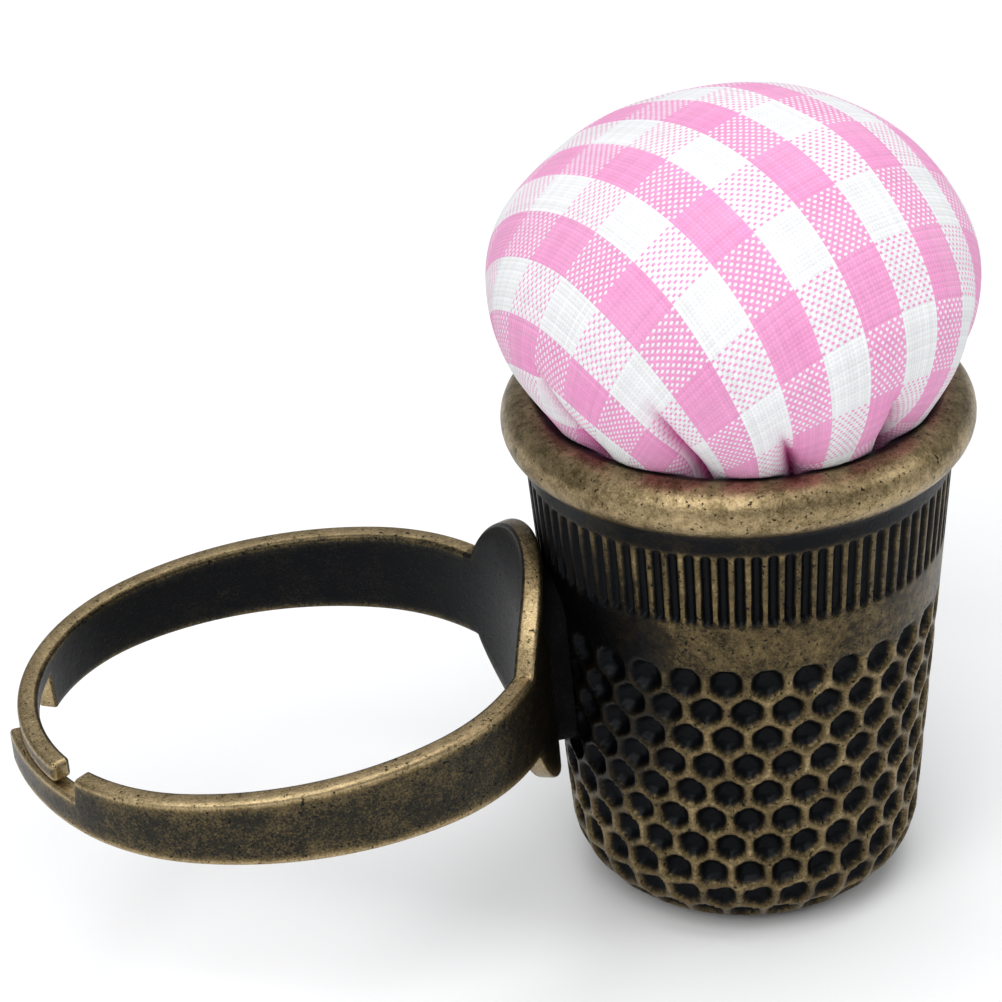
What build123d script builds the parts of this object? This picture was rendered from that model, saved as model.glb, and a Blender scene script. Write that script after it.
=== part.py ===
from build123d import *
import os
from math import atan2, cos, degrees, pi, radians, sin, sqrt, tan

# Thimble pincushion ring. A thimble stands on its closed end and holds a gathered fabric ball
# in its mouth. The round pad of an open, adjustable finger ring is soldered to its side.
# Millimetres. Origin: centre of the thimble's closed end. +Z: up its axis. -X: towards the ring.

# ---- driving dimensions: thimble ----
THIMBLE_HEIGHT = 20.8
RIM_DIAMETER = 17.9
BEAD_RADIUS = 1.1  # section of the rolled rim
END_RADIUS = 6.5  # wall radius carried down to the closed end
TAPER = 5.0  # degrees, wall to axis
WALL = 0.55
CORNER_RADIUS = 3.2

FLUTES = 80
FLUTE_BOTTOM = 14.75
FLUTE_TOP = 17.55
FLUTE_RADIUS = 0.2

DIMPLE_DEPTH = 0.35
DIMPLE_SPHERE = 0.75
DIMPLE_TOP_ROW = 11.75
DIMPLE_ROW_STEP = 1.27  # down the outer face
DIMPLES_AROUND = 30  # on each row of the straight wall
DIMPLE_PITCH = 1.62  # along a row of the corner or the closed end

# ---- driving dimensions: finger ring ----
RING_CENTRE = (-17.78, 0, 10.0)
RING_TWIST = 4.0  # degrees about X, back arm up
RING_DROOP = 3.5  # degrees about Y, closure end down
RING_HALF_LENGTH = 9.35  # inside, from the middle to the pad
RING_HALF_WIDTH = 7.95  # inside
RING_END_RADIUS = 7.6  # inside, at the pad and at the closure
STRIP = 0.8  # thickness of the metal
HEIGHT_AT_PAD = 3.8
HEIGHT_AT_CLOSURE = 2.4

PAD_RADIUS = 5.0
PAD_STUB = 5.05  # along the strip, from the pad's middle to its end
ROOT_GAP = 0.1  # at the bend line between pad and arm

FRONT_SHOULDER = 146.0  # degrees round the closure end
FRONT_TONGUE = 31.0
BACK_SHOULDER = 152.5
BACK_TONGUE = 53.0
SPRING_OUT = 2.4  # how much wider the front tongue's bend is
LAP_HEIGHT = 0.33  # of the line between the tongues, above the ring's middle
LAP_GAP = 0.12

SOLDER_WIDTH = 4.0
SOLDER_HEIGHT = 7.6
SOLDER_ROUND = 1.5

# ---- driving dimensions: cushion ----
BALL_RADIUS = 9.4
BALL_HALF_HEIGHT = 7.2
BALL_HEIGHT = 25.5  # of the ball's middle
BALL_SIDE_RADIUS = 5.5  # of the ball's section at its widest
CLOTH = 0.35
NECK_RADIUS = 2.4
TAIL_BOTTOM = 15.2
THREAD_RADIUS = 0.2
THREAD_TURNS = 2
THREAD_TOP = 18.3
KNOT_RADIUS = 0.45
FIT = 0.03  # between the neck, the thread and the knot
GLUE_TOP = 18.6
GLUE_POCKET_RADIUS = 3.9  # room for the thread and its knot

# ---- derived ----
BEAD_CENTRE = RIM_DIAMETER / 2 - BEAD_RADIUS
BEAD_HEIGHT = THIMBLE_HEIGHT - BEAD_RADIUS

RING_SIDE_RADIUS = (
    RING_HALF_LENGTH**2 + RING_HALF_WIDTH**2 - 2 * RING_HALF_LENGTH * RING_END_RADIUS
) / (2 * (RING_HALF_WIDTH - RING_END_RADIUS))
END_CENTRE = RING_HALF_LENGTH - RING_END_RADIUS
SIDE_CENTRE = RING_SIDE_RADIUS - RING_HALF_WIDTH
ARC_JOIN = degrees(atan2(SIDE_CENTRE, END_CENTRE))  # where an end bend meets a side bend
MID_END_RADIUS = RING_END_RADIUS + STRIP / 2
MID_SIDE_RADIUS = RING_SIDE_RADIUS + STRIP / 2

PAD_ANGLE = degrees(PAD_STUB / MID_END_RADIUS)
ROOT_ANGLE = degrees((PAD_STUB + ROOT_GAP + STRIP / 2) / MID_END_RADIUS)
PAD_HALF_CHORD = MID_END_RADIUS * sin(PAD_RADIUS / MID_END_RADIUS)
ROOT_X = END_CENTRE + MID_END_RADIUS * cos(radians(ROOT_ANGLE))
ROOT_Y = MID_END_RADIUS * sin(radians(ROOT_ANGLE))
BAND_REACH = RING_HALF_LENGTH + 2 * STRIP  # past every edge of the ring

BALL_SIDE_CENTRE = BALL_RADIUS - BALL_SIDE_RADIUS
BALL_CAP_RADIUS = (BALL_SIDE_CENTRE**2 + BALL_HALF_HEIGHT**2 - BALL_SIDE_RADIUS**2) / (
    2 * (BALL_HALF_HEIGHT - BALL_SIDE_RADIUS)
)
CAP_CENTRE = BALL_CAP_RADIUS - BALL_HALF_HEIGHT
CAP_JOIN = degrees(atan2(CAP_CENTRE, BALL_SIDE_CENTRE))  # where a cap meets the side

ring_plane = Plane(Location(RING_CENTRE, (RING_TWIST, -RING_DROOP, 0)))
ring_side = Plane(RING_CENTRE, x_dir=ring_plane.x_dir, z_dir=-ring_plane.y_dir)
pad_face = Plane(RING_CENTRE, x_dir=ring_plane.y_dir, z_dir=ring_plane.x_dir)
PAD_HEIGHT = (ring_plane * Pos(RING_HALF_LENGTH, 0, 0)).position.Z


def wall_radius(height):
    """Outer radius of the thimble's wall."""
    return END_RADIUS + height * tan(radians(TAPER))


def cup_section(inset, top):
    """Half section of the thimble's body, drawn inset from its outer face."""
    sideways = inset / cos(radians(TAPER))
    with BuildSketch(Plane.XZ, mode=Mode.PRIVATE) as section:
        with BuildLine():
            Polyline(
                (0, inset),
                (wall_radius(inset) - sideways, inset),
                (wall_radius(top) - sideways, top),
                (0, top),
                close=True,
            )
        make_face()
        corner = vertices().group_by(Axis.Y)[0].sort_by(Axis.X)[-1]
        fillet(corner, CORNER_RADIUS - inset)
    return section.sketch


def outer_face(travel):
    """Radius, height and slope at a distance down the outer face from the top dimple row."""
    taper = radians(TAPER)
    corner_axis = wall_radius(CORNER_RADIUS) - CORNER_RADIUS / cos(taper)
    corner_top = CORNER_RADIUS * (1 - sin(taper))
    straight = (DIMPLE_TOP_ROW - corner_top) / cos(taper)
    if travel <= straight:
        height = DIMPLE_TOP_ROW - travel * cos(taper)
        return wall_radius(height), height, taper
    slope = taper + (travel - straight) / CORNER_RADIUS
    if slope <= pi / 2:
        radius = corner_axis + CORNER_RADIUS * cos(slope)
        return radius, CORNER_RADIUS * (1 - sin(slope)), slope
    corner_length = CORNER_RADIUS * (pi / 2 - taper)
    return corner_axis - (travel - straight - corner_length), 0, pi / 2


def dimple_rows():
    """Rows of planes for the spheres that press the dimples, from the top row to the closed end."""
    lift = DIMPLE_SPHERE - DIMPLE_DEPTH
    opening = sqrt(DIMPLE_SPHERE**2 - lift**2)
    rows = []
    radius, height, slope = outer_face(0)
    while radius > DIMPLE_PITCH / 2:
        on_wall = slope <= radians(TAPER)
        count = DIMPLES_AROUND if on_wall else round(2 * pi * radius / DIMPLE_PITCH)
        presses = []
        for place in range(count):
            angle = 2 * pi * (place + len(rows) % 2 / 2) / count
            surface = Vector(radius, 0, height).rotate(Axis.Z, degrees(angle))
            outward = Vector(cos(slope), 0, -sin(slope)).rotate(Axis.Z, degrees(angle))
            beside = abs(surface.Y) < SOLDER_WIDTH / 2 + opening
            level = abs(height - PAD_HEIGHT) < SOLDER_HEIGHT / 2 + opening
            if not (surface.X < 0 and beside and level):
                presses.append(Plane(surface + outward * lift, z_dir=outward))
        rows.append(presses)
        radius, height, slope = outer_face(len(rows) * DIMPLE_ROW_STEP)
    return rows


def half_ball(inset):
    """Edges of the ball's half section, inset from its outer face: flatter caps, a rounder side."""
    low_centre = BALL_HEIGHT + CAP_CENTRE
    high_centre = BALL_HEIGHT - CAP_CENTRE
    cap = 90 - CAP_JOIN
    with BuildLine() as outline:
        under = CenterArc((0, low_centre), BALL_CAP_RADIUS - inset, -90, cap)
        CenterArc((BALL_SIDE_CENTRE, BALL_HEIGHT), BALL_SIDE_RADIUS - inset, -CAP_JOIN, 2 * CAP_JOIN)
        over = CenterArc((0, high_centre), BALL_CAP_RADIUS - inset, CAP_JOIN, cap)
        Line(over @ 1, under @ 0)
    return outline.edges()


def sector(centre, radius, start, sweep):
    """One bend of the strip, seen from above, added to the sketch that is open."""
    with BuildLine() as outline:
        inner = CenterArc(centre, radius - STRIP / 2, start, sweep)
        outer = CenterArc(centre, radius + STRIP / 2, start, sweep)
        Line(inner @ 0, outer @ 0)
        Line(inner @ 1, outer @ 1)
    make_face(outline.edges())


def arm_bends(side, shoulder):
    """An arm's full-height stretch, from its root to its shoulder. side is +1 for the back arm."""
    sector((END_CENTRE, 0), MID_END_RADIUS, side * ROOT_ANGLE, side * (ARC_JOIN - ROOT_ANGLE))
    sector(
        (0, -side * SIDE_CENTRE), MID_SIDE_RADIUS, side * ARC_JOIN, side * (180 - 2 * ARC_JOIN)
    )
    sector(
        (-END_CENTRE, 0),
        MID_END_RADIUS,
        side * (180 - ARC_JOIN),
        side * (shoulder - 180 + ARC_JOIN),
    )
    with Locations((ROOT_X, side * ROOT_Y)):
        Circle(STRIP / 2)


def arm_tongue(side, shoulder, length, widening):
    """The stretch past the shoulder, on a bend wider than the closure's by widening."""
    turn = radians(side * shoulder)
    centre = (-END_CENTRE - widening * cos(turn), -widening * sin(turn))
    sector(centre, MID_END_RADIUS + widening, side * shoulder, side * length)


def band_half_height(x):
    """Half of the strip's height at a place along the ring's length."""
    share = (RING_HALF_LENGTH - x) / (2 * RING_HALF_LENGTH)
    return (HEIGHT_AT_PAD + share * (HEIGHT_AT_CLOSURE - HEIGHT_AT_PAD)) / 2


def band_side_view():
    """The arms' tapering outline seen from the side, drawn behind the ring."""
    far = band_half_height(-BAND_REACH)
    near = band_half_height(BAND_REACH)
    with BuildSketch(ring_side.offset(-BAND_REACH), mode=Mode.PRIVATE) as outline:
        with BuildLine():
            Polyline(
                (-BAND_REACH, -far),
                (BAND_REACH, -near),
                (BAND_REACH, near),
                (-BAND_REACH, far),
                close=True,
            )
        make_face()
    return outline.sketch


# ---- thimble ----
with BuildPart() as flute_cutter:
    flute_middle = (FLUTE_BOTTOM + FLUTE_TOP) / 2
    with Locations(Location((wall_radius(flute_middle), 0, flute_middle), (0, TAPER, 0))):
        Cylinder(FLUTE_RADIUS, (FLUTE_TOP - FLUTE_BOTTOM) / cos(radians(TAPER)))

with BuildPart() as thimble_cup:
    add(cup_section(0, BEAD_HEIGHT))
    revolve(axis=Axis.Z)
    add(cup_section(WALL, BEAD_HEIGHT + BEAD_RADIUS))
    revolve(axis=Axis.Z, mode=Mode.SUBTRACT)
    with Locations((0, 0, BEAD_HEIGHT)):
        Torus(BEAD_CENTRE, BEAD_RADIUS)
    with PolarLocations(0, FLUTES):
        add(flute_cutter.part, mode=Mode.SUBTRACT)
    for row in dimple_rows():
        with Locations(*row):
            Sphere(DIMPLE_SPHERE, mode=Mode.SUBTRACT)

# ---- finger ring ----
with BuildPart() as ring_pad:
    with BuildSketch(ring_plane):
        sector((END_CENTRE, 0), MID_END_RADIUS, -PAD_ANGLE, 2 * PAD_ANGLE)
    extrude(amount=PAD_RADIUS, both=True)
    with BuildSketch(pad_face):
        Ellipse(PAD_HALF_CHORD, PAD_RADIUS)
        Rectangle(4 * PAD_HALF_CHORD, 2 * band_half_height(ROOT_X))
    extrude(amount=RING_HALF_LENGTH + 2 * STRIP, mode=Mode.INTERSECT)

with BuildPart() as ring_arm_front:
    with BuildSketch(ring_plane):
        arm_bends(-1, FRONT_SHOULDER)
    extrude(amount=HEIGHT_AT_PAD / 2, both=True)
    with BuildSketch(ring_plane.offset(LAP_HEIGHT - LAP_GAP / 2)):
        arm_tongue(-1, FRONT_SHOULDER, FRONT_TONGUE, SPRING_OUT)
    extrude(amount=-HEIGHT_AT_PAD)
    extrude(band_side_view(), amount=2 * BAND_REACH, mode=Mode.INTERSECT)

with BuildPart() as ring_arm_back:
    with BuildSketch(ring_plane):
        arm_bends(1, BACK_SHOULDER)
    extrude(amount=HEIGHT_AT_PAD / 2, both=True)
    with BuildSketch(ring_plane.offset(LAP_HEIGHT + LAP_GAP / 2)):
        arm_tongue(1, BACK_SHOULDER, BACK_TONGUE, 0)
    extrude(amount=HEIGHT_AT_PAD)
    extrude(band_side_view(), amount=2 * BAND_REACH, mode=Mode.INTERSECT)

with BuildPart() as pad_solder:
    with BuildSketch(pad_face.offset(RING_HALF_LENGTH)):
        RectangleRounded(SOLDER_WIDTH, SOLDER_HEIGHT, SOLDER_ROUND)
    extrude(amount=3 * STRIP)
    add(cup_section(0, BEAD_HEIGHT))
    revolve(axis=Axis.Z, mode=Mode.SUBTRACT)
    with BuildSketch(ring_plane):
        with Locations((END_CENTRE, 0)):
            Circle(RING_END_RADIUS + STRIP)
    extrude(amount=PAD_RADIUS, both=True, mode=Mode.SUBTRACT)

# ---- cushion ----
with BuildPart() as cushion_cover:
    with BuildSketch(Plane.XZ):
        make_face(half_ball(0))
        with Locations((NECK_RADIUS / 2, (TAIL_BOTTOM + BALL_HEIGHT) / 2)):
            Rectangle(NECK_RADIUS, BALL_HEIGHT - TAIL_BOTTOM)
        make_face(half_ball(CLOTH), mode=Mode.SUBTRACT)
    revolve(axis=Axis.Z)

with BuildPart() as cushion_stuffing:
    with BuildSketch(Plane.XZ):
        make_face(half_ball(CLOTH))
    revolve(axis=Axis.Z)

with BuildPart() as gather_thread:
    turn_radius = NECK_RADIUS + FIT + THREAD_RADIUS
    turn_step = 2 * THREAD_RADIUS + FIT
    with Locations(*[(0, 0, THREAD_TOP - turn * turn_step) for turn in range(THREAD_TURNS)]):
        Torus(turn_radius, THREAD_RADIUS)

with BuildPart() as gather_knot:
    with Locations((turn_radius + THREAD_RADIUS + FIT + KNOT_RADIUS, 0, THREAD_TOP - turn_step / 2)):
        Sphere(KNOT_RADIUS)

with BuildPart() as glue_bed:
    add(cup_section(WALL, GLUE_TOP))
    revolve(axis=Axis.Z)
    with BuildSketch(Plane.XZ):
        make_face(half_ball(0))
    revolve(axis=Axis.Z, mode=Mode.SUBTRACT)
    pocket_floor = THREAD_TOP - THREAD_TURNS * turn_step - THREAD_RADIUS
    with BuildSketch(Plane.XY.offset(pocket_floor)):
        Circle(GLUE_POCKET_RADIUS)
    extrude(amount=GLUE_TOP - pocket_floor, mode=Mode.SUBTRACT)
    with BuildSketch(Plane.XY.offset(TAIL_BOTTOM)):
        Circle(NECK_RADIUS)
    extrude(amount=GLUE_TOP - TAIL_BOTTOM, mode=Mode.SUBTRACT)

# ---- export ----
pieces = {
    "thimble_cup": thimble_cup,
    "ring_pad": ring_pad,
    "ring_arm_front": ring_arm_front,
    "ring_arm_back": ring_arm_back,
    "pad_solder": pad_solder,
    "cushion_cover": cushion_cover,
    "cushion_stuffing": cushion_stuffing,
    "gather_thread": gather_thread,
    "gather_knot": gather_knot,
    "glue_bed": glue_bed,
}
os.makedirs("parts", exist_ok=True)
for name, piece in pieces.items():
    piece.part.label = name
    export_step(piece.part, f"parts/{name}.step")
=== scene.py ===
from math import atan2, ceil, cos, degrees, exp, pi, radians, sin, sqrt, tan

import bmesh
import bpy
import numpy as np
from mathutils import Matrix, Vector, kdtree


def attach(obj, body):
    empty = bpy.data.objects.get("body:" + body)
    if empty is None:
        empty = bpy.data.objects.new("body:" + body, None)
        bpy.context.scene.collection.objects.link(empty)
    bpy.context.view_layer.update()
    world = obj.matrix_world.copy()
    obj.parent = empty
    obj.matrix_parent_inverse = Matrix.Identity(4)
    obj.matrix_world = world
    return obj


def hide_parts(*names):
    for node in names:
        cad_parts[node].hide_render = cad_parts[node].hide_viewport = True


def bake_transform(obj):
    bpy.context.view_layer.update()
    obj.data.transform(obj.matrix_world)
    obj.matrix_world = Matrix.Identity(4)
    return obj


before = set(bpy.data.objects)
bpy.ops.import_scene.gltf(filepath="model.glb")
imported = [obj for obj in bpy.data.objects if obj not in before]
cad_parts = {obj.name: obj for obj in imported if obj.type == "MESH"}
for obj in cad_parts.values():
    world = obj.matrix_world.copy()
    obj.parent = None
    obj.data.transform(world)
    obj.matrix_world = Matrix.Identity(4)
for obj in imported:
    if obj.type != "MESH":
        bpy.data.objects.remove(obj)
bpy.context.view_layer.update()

# A thimble pincushion ring: a bronze thimble with a gingham ball in its mouth, soldered to the
# round pad of an open finger ring. Sizes are millimetres in the row frame until make_piece.

MM = 0.001

# ---- the CAD model's sizes ----
THIMBLE_HEIGHT = 20.8
RIM_DIAMETER = 17.9
BEAD_RADIUS = 1.1
END_RADIUS = 6.5
TAPER = radians(5.0)
WALL = 0.55
CORNER_RADIUS = 3.2

RING_CENTRE = (-17.78, 0.0, 10.0)
RING_TWIST = radians(4.0)
RING_DROOP = radians(3.5)
RING_HALF_LENGTH = 9.35
RING_HALF_WIDTH = 7.95
RING_END_RADIUS = 7.6
STRIP = 0.8
HEIGHT_AT_PAD = 3.8
HEIGHT_AT_CLOSURE = 2.4
PAD_RADIUS = 5.0
PAD_STUB = 5.05
FRONT_SHOULDER = 146.0
FRONT_TONGUE = 31.0
BACK_SHOULDER = 152.5
BACK_TONGUE = 53.0
SPRING_OUT = 2.4
LAP_HEIGHT = 0.33
LAP_GAP = 0.12

BALL_RADIUS = 9.4
BALL_HALF_HEIGHT = 7.2
BALL_HEIGHT = 25.5
BALL_SIDE_RADIUS = 5.5
NECK_RADIUS = 2.4
TAIL_BOTTOM = 15.2

# ---- the thimble's pressed pattern ----
FLUTES = 80
FLUTE_BOTTOM = 14.75
FLUTE_TOP = 17.7
FLUTE_DEPTH = 0.24
FLUTE_RUN_OUT = 0.16  # half the height over which a groove ends
RIB_SHARE = 0.38  # of half a pitch, from a rib's middle to about its top's edge
DIMPLES_AROUND = 30
DIMPLE_TOP_ROW = 12.0
DIMPLE_ROW_STEP = 1.25  # down the outer face
DIMPLE_END_PITCH = 1.4  # along a row of the corner or the closed end
DIMPLE_DEPTH = 0.44
DIMPLE_REACH = 0.7  # of a dimple with no neighbour on that side
DIMPLE_SIDE = 0.42  # from a dimple's edge to its floor
WEB = 0.24  # width of the ridge between neighbouring dimples
CELL_SHARPNESS = 22.0  # higher makes the hexagons' corners sharper

# ---- the thimble's mesh ----
COLUMNS = 8 * FLUTES
END_COLUMNS_RADIUS = 5.0  # half the columns inside it, a quarter inside half of it, and so on
ROW_STEP = 0.14  # down the dimpled face
PATTERN_TOP = 13.0
BAND_ROWS = (13.3, 13.8, 14.3)
NECK_ROWS = (18.1, 18.4, 18.6)
FLUTE_END_STEP = 0.08
BEAD_FROM, BEAD_TO, BEAD_ROWS = -72, 252, 31  # degrees round the bead's section
INSIDE_ROWS = (18.5, 16, 13, 10, 7, 5, 3.4)
INSIDE_CORNER_STEPS = 6

# ---- the thimble's wear, with painted shade and painted light: 0 is dark patina and 1 is bare metal ----
WALL_WORN = 0.42
BEAD_WORN = 0.74
INSIDE_WORN = 0.15
CREST_WORN = 0.2  # added along the webs between dimples
CREST_WIDTH = 0.1
PATINA_START = 0.03  # in from a dimple's edge
PATINA_FULL = 0.22
GROOVE_PATINA = 0.85
NECK_WORN = 0.4
# painted shade under the bead: the neck darkens up towards the bead, and the bead down its
# underside
NECK_PAINTED_SHADE = 0.5
UNDER_BEAD_PAINTED_SHADE = 0.6
# patina on the bead's inner edge, with painted shade of the ball's shadow
IN_MOUTH_PATINA_AND_SHADE = 0.7
RIB_PAINTED_LIGHT = 0.2  # painted light, added to the ribs on the side towards the key light
# painted shade, taken from every rib
RIB_PAINTED_SHADE = 0.09
# the side where the ribs' painted light is brightest
RIB_LIGHT_TURN = radians(-115)
PAD_SHADE_TURN = 52.0  # degrees either side of the pad over which the wall is darkened as painted shade
PAD_SHADE_MIDDLE = 11.5
PAD_SHADE_REACH = 6.0  # above and below its middle

# ---- derived ----
BEAD_CENTRE = RIM_DIAMETER / 2 - BEAD_RADIUS
BEAD_HEIGHT = THIMBLE_HEIGHT - BEAD_RADIUS
RING_SIDE_RADIUS = (
    RING_HALF_LENGTH**2 + RING_HALF_WIDTH**2 - 2 * RING_HALF_LENGTH * RING_END_RADIUS
) / (2 * (RING_HALF_WIDTH - RING_END_RADIUS))
END_CENTRE = RING_HALF_LENGTH - RING_END_RADIUS
SIDE_CENTRE = RING_SIDE_RADIUS - RING_HALF_WIDTH
ARC_JOIN = degrees(atan2(SIDE_CENTRE, END_CENTRE))
MID_END_RADIUS = RING_END_RADIUS + STRIP / 2
MID_SIDE_RADIUS = RING_SIDE_RADIUS + STRIP / 2
PAD_ANGLE = degrees(PAD_STUB / MID_END_RADIUS)

BALL_SIDE_CENTRE = BALL_RADIUS - BALL_SIDE_RADIUS
BALL_CAP_RADIUS = (BALL_SIDE_CENTRE**2 + BALL_HALF_HEIGHT**2 - BALL_SIDE_RADIUS**2) / (
    2 * (BALL_HALF_HEIGHT - BALL_SIDE_RADIUS)
)
CAP_CENTRE = BALL_CAP_RADIUS - BALL_HALF_HEIGHT
CAP_JOIN = atan2(CAP_CENTRE, BALL_SIDE_CENTRE)

ring_turn = Matrix.Rotation(RING_TWIST, 4, "X") @ Matrix.Rotation(-RING_DROOP, 4, "Y")
ring_place = Matrix.Translation(RING_CENTRE) @ ring_turn


# ---- camera, light and floor ----
VIEW_TARGET = Vector((-8.91, 1.59, 16.21)) * MM
VIEW_AZIMUTH = radians(-10.2)
VIEW_ELEVATION = radians(28.53)
VIEW_ROLL = radians(2.45)
VIEW_DISTANCE = 0.2
VIEW_LENS = 189.5


def place_camera():
    camera = bpy.data.objects.new("camera", bpy.data.cameras.new("camera"))
    bpy.context.scene.collection.objects.link(camera)
    camera.data.lens = VIEW_LENS
    camera.data.sensor_width = 36.0
    camera.data.clip_start = 0.01
    camera.data.clip_end = 20.0
    level = cos(VIEW_ELEVATION)
    back = Vector((sin(VIEW_AZIMUTH) * level, -cos(VIEW_AZIMUTH) * level, sin(VIEW_ELEVATION)))
    right = Vector((cos(VIEW_AZIMUTH), sin(VIEW_AZIMUTH), 0))
    up = back.cross(right)
    turned = Matrix((
        right * cos(VIEW_ROLL) - up * sin(VIEW_ROLL),
        right * sin(VIEW_ROLL) + up * cos(VIEW_ROLL),
        back,
    )).transposed()
    camera.matrix_world = Matrix.Translation(VIEW_TARGET + back * VIEW_DISTANCE) @ turned.to_4x4()
    bpy.context.scene.camera = camera


def softbox(name, place, size, power):
    """A square area light, aimed at the object's middle. place is in metres."""
    light = bpy.data.lights.new(name, "AREA")
    light.size = size
    light.energy = power
    lamp = bpy.data.objects.new(name, light)
    bpy.context.scene.collection.objects.link(lamp)
    lamp.location = place
    aim = VIEW_TARGET - Vector(place)
    lamp.rotation_mode = "QUATERNION"
    lamp.rotation_quaternion = aim.to_track_quat("-Z", "Y")


def light_scene():
    scene = bpy.context.scene
    scene.world = bpy.data.worlds.new("studio")
    scene.world.use_nodes = True
    background = scene.world.node_tree.nodes["Background"]
    background.inputs["Color"].default_value = (0.93, 0.96, 1.0, 1)
    background.inputs["Strength"].default_value = 0.36
    scene.view_settings.view_transform = "Standard"
    softbox("key_softbox", (-0.12, -0.20, 0.26), 0.24, 0.62)
    softbox("top_softbox", (0.02, 0.04, 0.36), 0.34, 0.8)
    softbox("right_softbox", (0.26, -0.10, 0.20), 0.16, 0.2)
    softbox("left_softbox", (-0.24, -0.16, 0.12), 0.14, 0.08)


def lay_floor():
    bpy.ops.mesh.primitive_plane_add(size=6.0)
    floor = bpy.context.object
    floor.name = "floor"
    look = Shading("floor_card")
    look.surface.inputs["Base Color"].default_value = (0.92, 0.92, 0.92, 1)
    look.surface.inputs["Roughness"].default_value = 0.9
    look.surface.inputs["Specular IOR Level"].default_value = 0.1
    floor.data.materials.append(look.material)


# ---- materials ----
class Shading:
    """Lays out the nodes of one material."""

    def __init__(self, name):
        self.material = bpy.data.materials.new(name)
        self.material.use_nodes = True
        self.tree = self.material.node_tree
        self.surface = self.tree.nodes["Principled BSDF"]

    def feed(self, socket, value):
        if isinstance(value, bpy.types.NodeSocket):
            self.tree.links.new(value, socket)
        elif value is not None:
            socket.default_value = value

    def node(self, kind, *inputs, **settings):
        made = self.tree.nodes.new("ShaderNode" + kind)
        for setting, value in settings.items():
            setattr(made, setting, value)
        for socket, value in zip(made.inputs, inputs):
            self.feed(socket, value)
        return made

    def math(self, operation, *inputs, clamp=False):
        return self.node("Math", *inputs, operation=operation, use_clamp=clamp).outputs[0]

    def add(self, *terms):
        total = terms[0]
        for term in terms[1:]:
            total = self.math("ADD", total, term)
        return total

    def times(self, a, b):
        return self.math("MULTIPLY", a, b)

    def millimetres(self):
        """The piece's own coordinates, in millimetres."""
        place = self.node("TexCoord").outputs["Object"]
        scaled = self.node("VectorMath", place, operation="SCALE")
        scaled.inputs["Scale"].default_value = 1 / MM
        return scaled.outputs[0]

    def value(self, name):
        """A number that the mesh carries at each vertex."""
        return self.node("Attribute", attribute_name=name).outputs["Fac"]

    def noise(self, place, per_mm, detail=3.0, roughness=0.55):
        """Noise spread evenly about 0, from about -0.5 to 0.5."""
        made = self.node("TexNoise", place)
        made.inputs["Scale"].default_value = per_mm
        made.inputs["Detail"].default_value = detail
        made.inputs["Roughness"].default_value = roughness
        return self.math("SUBTRACT", made.outputs["Fac"], 0.5)

    def spread(self, value, low, high, to_low=0.0, to_high=1.0):
        made = self.node("MapRange", value, low, high, to_low, to_high)
        return made.outputs[0]

    def ramp(self, value, *stops):
        """A colour from (position, (r, g, b)) stops."""
        made = self.node("ValToRGB", value)
        band = made.color_ramp.elements
        while len(band) < len(stops):
            band.new(0.5)
        for element, (position, colour) in zip(band, stops):
            element.position = position
            element.color = (*colour, 1)
        return made.outputs["Color"]

    def mix(self, share, a, b):
        made = self.node("Mix", data_type="RGBA")
        self.feed(made.inputs["Factor"], share)
        self.feed(made.inputs[6], (*a, 1) if isinstance(a, tuple) else a)
        self.feed(made.inputs[7], (*b, 1) if isinstance(b, tuple) else b)
        return made.outputs[2]

    def bump(self, height, distance, strength=1.0):
        """height 1 stands distance metres proud."""
        made = self.node("Bump")
        made.inputs["Strength"].default_value = strength
        made.inputs["Distance"].default_value = distance
        self.feed(made.inputs["Height"], height)
        self.feed(self.surface.inputs["Normal"], made.outputs[0])

    def finish(self, colour, roughness, metallic=0.0, **sockets):
        self.feed(self.surface.inputs["Base Color"], colour)
        self.feed(self.surface.inputs["Roughness"], roughness)
        self.feed(self.surface.inputs["Metallic"], metallic)
        for socket, value in sockets.items():
            self.surface.inputs[socket.replace("_", " ")].default_value = value
        return self.material


NIGHT = (0.002, 0.0025, 0.0035)  # the patina where it is thickest
GOLD = (0.15, 0.11, 0.052)
BRIGHT = (0.50, 0.38, 0.21)  # bare metal


def bronze(name, patchiness, graininess, brown):
    """Antique bronze. The mesh's wear value says how bare the metal is rubbed, and in places it
    also carries painted shade and painted light; "pit" says how deep the dark patina lies. brown
    is the colour of thin patina."""
    look = Shading(name)
    place = look.millimetres()
    patches = look.noise(place, 0.7, 3.0)
    blotches = look.noise(place, 3.2, 4.0, 0.6)
    grain = look.noise(place, 11.0, 3.0, 0.65)
    # how bare the metal is, which also carries the painted shade and painted light in the wear
    # value
    bare = look.add(
        look.value("worn"),
        look.times(patches, patchiness),
        look.times(blotches, patchiness),
        look.times(grain, graininess),
        look.times(look.value("pit"), -1.1),
    )
    specks = look.spread(look.noise(place, 6.0, 2.0, 0.5), 0.13, 0.22)
    flecks = look.spread(look.noise(place, 4.5, 5.0, 0.75), 0.09, 0.2)
    marks = look.add(look.times(specks, -0.45), look.times(flecks, 0.16))
    bare = look.math("ADD", bare, marks, clamp=True)
    colour = look.ramp(bare, (0.0, NIGHT), (0.33, brown), (0.62, GOLD), (1.0, BRIGHT))
    roughness = look.spread(bare, 0.0, 1.0, 0.45, 0.38)
    rough = look.add(roughness, look.times(grain, 0.3))
    rises = look.add(look.times(blotches, 0.5), look.times(grain, 0.35))
    height = look.add(rises, look.times(specks, -0.5))
    look.bump(height, 0.03 * MM)
    metallic = look.spread(bare, 0.0, 0.4, 0.8, 1.0)
    return look.finish(colour, rough, metallic, Coat_Weight=0.03, Specular_IOR_Level=0.3)


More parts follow.
